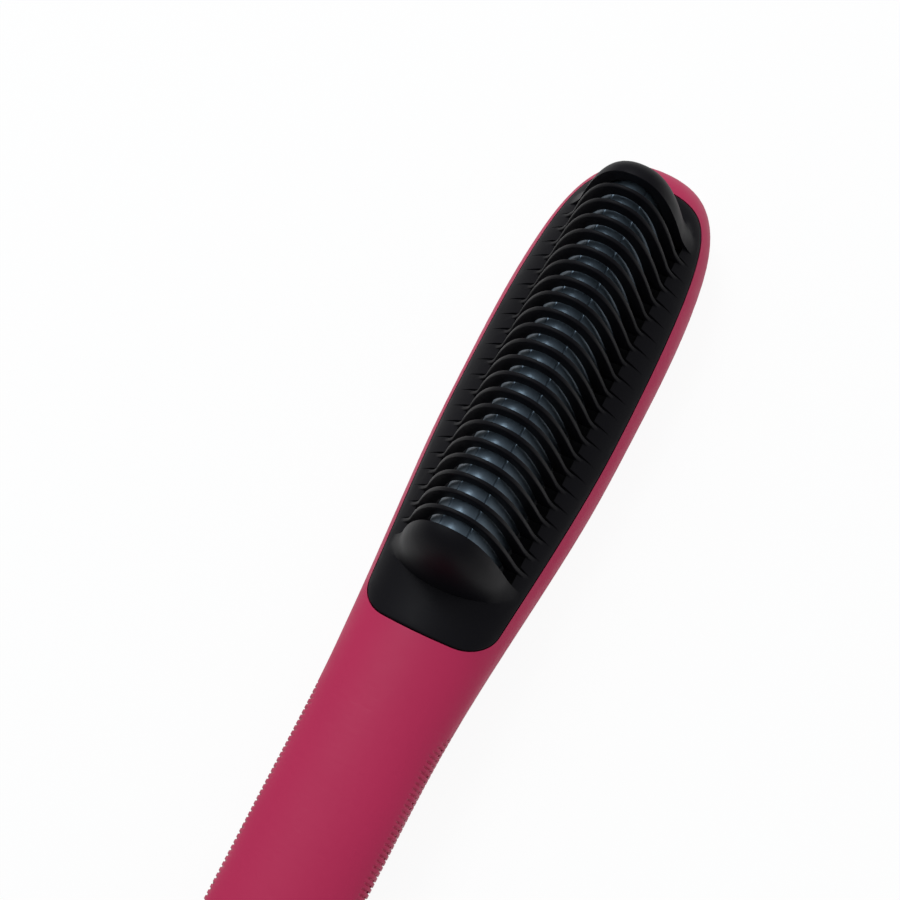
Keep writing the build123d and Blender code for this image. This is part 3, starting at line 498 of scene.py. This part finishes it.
def add_key_mark(key, body, kind):
    """Plus, minus or power mark on the key's outer face."""
    corners = [nodes[key].matrix_world @ Vector(corner) for corner in nodes[key].bound_box]
    face = min(corner.z for corner in corners)
    x, y = (sum(corner[axis] for corner in corners) / len(corners) for axis in (0, 1))
    half_stroke = MARK_STROKE / 2
    made = bmesh.new()
    if kind == "power":
        stem_middle, stem_half = (STEM_LOW + STEM_HIGH) / 2, (STEM_HIGH - STEM_LOW) / 2
        add_bar(made, (x, y + stem_middle), half_stroke, stem_half, face)
        turns = [math.radians(90 + RING_GAP + (360 - 2 * RING_GAP) * step / RING_STEPS)
                 for step in range(RING_STEPS + 1)]
        inner, outer = ([(x + radius * math.cos(turn), y + radius * math.sin(turn))
                         for turn in turns]
                        for radius in (RING_RADIUS - half_stroke, RING_RADIUS + half_stroke))
        add_stroke(made, inner, outer, face)
    else:
        add_bar(made, (x, y), MARK_HALF, half_stroke, face)
    if kind == "plus":
        for side in (-1, 1):
            arm = (MARK_HALF - half_stroke) / 2
            add_bar(made, (x, y + side * (half_stroke + arm)), half_stroke, arm, face)
    bmesh.ops.recalc_face_normals(made, faces=made.faces)
    mesh = bpy.data.meshes.new(kind + "_mark")
    made.to_mesh(mesh)
    made.free()
    mesh.materials.append(slot_materials["plunger_plastic"])
    mark = bpy.data.objects.new(kind + "_mark", mesh)
    scene.collection.objects.link(mark)
    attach(mark, body)


for kind in ("plus", "minus", "power"):
    add_key_mark(kind + "_button", kind + "_key", kind)

# Floor and surroundings. The glow is the share of white that the camera and gloss see
FLOOR_SIZE, FLOOR_GREY, FLOOR_ROUGH, FLOOR_GLOW = 40.0, 0.90, 0.9, 0.93
WORLD_COLOR, WORLD_LEVEL = (0.95, 0.97, 1.0), 0.53

floor_mesh = bpy.data.meshes.new("floor")
half = FLOOR_SIZE / 2
corners = [(-half, -half, 0.0), (half, -half, 0.0), (half, half, 0.0), (-half, half, 0.0)]
floor_mesh.from_pydata(corners, [], [(0, 1, 2, 3)])
floor = bpy.data.objects.new("floor", floor_mesh)
scene.collection.objects.link(floor)


def floor_material():
    """Pale floor that shows white to the camera and keeps a soft shadow."""
    material, tree, shader = new_material("studio_floor")
    shader.inputs["Base Color"].default_value = (FLOOR_GREY, FLOOR_GREY, FLOOR_GREY, 1.0)
    shader.inputs["Roughness"].default_value = FLOOR_ROUGH
    shader.inputs["Specular IOR Level"].default_value = 0.0
    path = tree.nodes.new("ShaderNodeLightPath")
    seen = path.outputs["Is Camera Ray"]
    for ray in ("Is Glossy Ray", "Is Transmission Ray"):
        either = tree.nodes.new("ShaderNodeMath")
        either.operation = "MAXIMUM"
        tree.links.new(seen, either.inputs[0])
        tree.links.new(path.outputs[ray], either.inputs[1])
        seen = either.outputs[0]
    glow = tree.nodes.new("ShaderNodeMath")
    glow.operation = "MULTIPLY"
    glow.inputs[1].default_value = FLOOR_GLOW
    tree.links.new(seen, glow.inputs[0])
    white = tree.nodes.new("ShaderNodeEmission")
    white.inputs["Color"].default_value = (1.0, 1.0, 1.0, 1.0)
    white.inputs["Strength"].default_value = 1.0
    mix = tree.nodes.new("ShaderNodeMixShader")
    tree.links.new(glow.outputs[0], mix.inputs["Fac"])
    tree.links.new(shader.outputs["BSDF"], mix.inputs[1])
    tree.links.new(white.outputs["Emission"], mix.inputs[2])
    tree.links.new(mix.outputs["Shader"], tree.nodes["Material Output"].inputs["Surface"])
    return material


floor_mesh.materials.append(floor_material())

world = bpy.data.worlds.new("studio")
world.use_nodes = True
background = world.node_tree.nodes["Background"]
background.inputs["Color"].default_value = (*WORLD_COLOR, 1.0)
background.inputs["Strength"].default_value = WORLD_LEVEL
scene.world = world


def softbox(name, offset, size, watts, color):
    """Area lamp at an offset from the head, turned to it."""
    data = bpy.data.lights.new(name, "AREA")
    data.shape = "RECTANGLE"
    data.size, data.size_y = size
    data.energy = watts
    data.color = color
    lamp = bpy.data.objects.new(name, data)
    scene.collection.objects.link(lamp)
    lamp.location = AIM + Vector(offset)
    lamp.rotation_mode = "QUATERNION"
    lamp.rotation_quaternion = (AIM - lamp.location).to_track_quat("-Z", "Y")


softbox("key", (-0.32, 0.29, 0.70), (0.26, 0.34), 2.5, (0.94, 0.98, 1.0))
softbox("panel", (-0.22, 0.26, 0.76), (1.40, 1.20), 2.2, (0.92, 0.97, 1.0))
